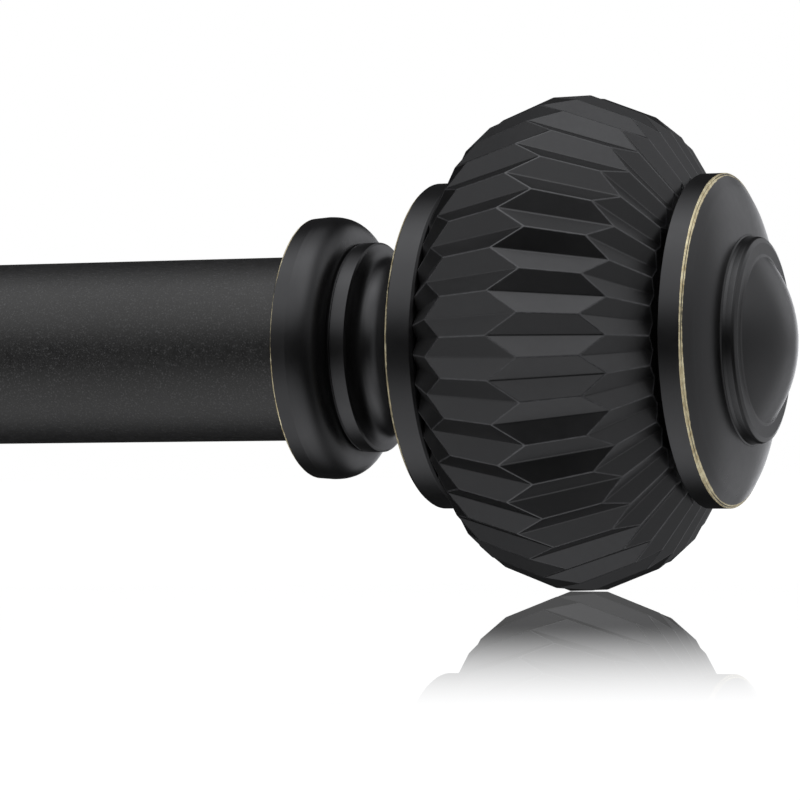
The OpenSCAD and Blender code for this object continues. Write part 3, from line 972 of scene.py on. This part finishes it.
nt.links.new(add.outputs[0], mx.inputs[1])
nt.links.new(glo.outputs[0], mx.inputs[2])
nt.links.new(mx.outputs[0], out.inputs["Surface"])
floor.data.materials.append(fm)
floor.visible_glossy = False

# ------------------------------------------------------------------ studio: pale surround, light mostly from above
SC.view_settings.view_transform = "Standard"
SC.view_settings.look = "None"
w = bpy.data.worlds.new("studio")
SC.world = w
w.use_nodes = True
nt = w.node_tree
nt.nodes.clear()
wo = nt.nodes.new("ShaderNodeOutputWorld")
bg_cam = nt.nodes.new("ShaderNodeBackground")
bg_cam.inputs["Color"].default_value = col(1.0)
bg_cam.inputs["Strength"].default_value = 1.0
bg_env = nt.nodes.new("ShaderNodeBackground")
bg_env.inputs["Strength"].default_value = 1.0
gen = nt.nodes.new("ShaderNodeTexCoord").outputs["Generated"]
sep = nt.nodes.new("ShaderNodeSeparateXYZ")
nt.links.new(gen, sep.inputs[0])
X, Y, Z = sep.outputs


def lobe(az, el, lo_, hi_, val):
    """Soft patch of light round a direction; lo_ and hi_ are cosines."""
    n = nt.nodes.new("ShaderNodeVectorMath")
    n.operation = "DOT_PRODUCT"
    nt.links.new(gen, n.inputs[0])
    a, e = math.radians(az), math.radians(el)
    n.inputs[1].default_value = (math.cos(e) * math.cos(a), math.cos(e) * math.sin(a), math.sin(e))
    return rng(nt, n.outputs["Value"], lo_, hi_, 0.0, val, True)


lobes = [lobe(*v) for v in (
    (250, 56, 0.64, 0.98, 1.30),       # large soft box overhead, towards the front
    (170, 80, 0.80, 1.01, 0.62),       # ceiling
    (245, -60, 0.62, 1.04, 1.00),      # bounce from the pale floor
    (0, -90, 0.78, 1.0, 0.35),
    (25, 0, 0.30, 0.85, 0.36),         # pale side wall at +X
    (68, 19, 0.93, 0.995, 0.42),       # pale backdrop beyond the finial
    (68, -19, 0.93, 0.995, 0.36),
    (96, 0, 0.968, 0.999, 1.60),
    (330, 50, 0.60, 0.95, 0.42),
    (22, 38, 0.82, 0.98, 0.29),
    (22, -38, 0.82, 0.98, 0.20),
)]
# upright strip of light at the front left
flat = nt.nodes.new("ShaderNodeVectorMath")
flat.operation = "MULTIPLY"
flat.inputs[1].default_value = (1.0, 1.0, 0.0)
nt.links.new(gen, flat.inputs[0])
fn_ = nt.nodes.new("ShaderNodeVectorMath")
fn_.operation = "NORMALIZE"
nt.links.new(flat.outputs[0], fn_.inputs[0])
fd = nt.nodes.new("ShaderNodeVectorMath")
fd.operation = "DOT_PRODUCT"
fd.inputs[1].default_value = (math.cos(math.radians(214)), math.sin(math.radians(214)), 0.0)
nt.links.new(fn_.outputs[0], fd.inputs[0])
lobes.append(mth(nt, "MULTIPLY", rng(nt, fd.outputs["Value"], 0.905, 1.0, 0.0, 0.66, True), rng(nt, mth(nt, "ABSOLUTE", Z), 0.42, 0.75, 1.0, 0.0, True)))
env = lobes[0]
for v in lobes[1:]:
    env = mth(nt, "ADD", env, v)
env = mth(nt, "ADD", env, 0.024)
tint = nt.nodes.new("ShaderNodeVectorMath")
tint.operation = "SCALE"
tint.inputs[0].default_value = (0.985, 0.992, 1.03)
nt.links.new(env, tint.inputs["Scale"])
nt.links.new(tint.outputs[0], bg_env.inputs["Color"])
lp = nt.nodes.new("ShaderNodeLightPath")
seen = mth(nt, "MAXIMUM", lp.outputs["Is Camera Ray"], lp.outputs["Is Singular Ray"])
mw = nt.nodes.new("ShaderNodeMixShader")
nt.links.new(seen, mw.inputs[0])
nt.links.new(bg_env.outputs[0], mw.inputs[1])
nt.links.new(bg_cam.outputs[0], mw.inputs[2])
nt.links.new(mw.outputs[0], wo.inputs["Surface"])

# ------------------------------------------------------------------ camera
yaw, pit, rol = math.radians(21.0205), math.radians(-0.911), math.radians(-0.4642)
sy, cy_, sp, cp = math.sin(yaw), math.cos(yaw), math.sin(pit), math.cos(pit)
fwd = np.array([-sy * cp, cy_ * cp, -sp])
right = np.array([cy_, sy, 0.0])
up = np.cross(right, fwd)
r2 = math.cos(rol) * right + math.sin(rol) * up
u2 = -math.sin(rol) * right + math.cos(rol) * up
O = np.array([XR - 0.473, YA, 0.0])
C = (O - (24.42 * r2 + 7.62 * u2 + 607.95 * fwd)) * MM
cam = bpy.data.cameras.new("camera")
cam.sensor_width = 36
cam.lens = 202.5
cam.clip_start = 0.01
cam.clip_end = 50
co_ = link(bpy.data.objects.new("camera", cam))
co_.matrix_world = Matrix(((r2[0], u2[0], -fwd[0], C[0]), (r2[1], u2[1], -fwd[1], C[1]), (r2[2], u2[2], -fwd[2], C[2]), (0, 0, 0, 1)))
SC.camera = co_
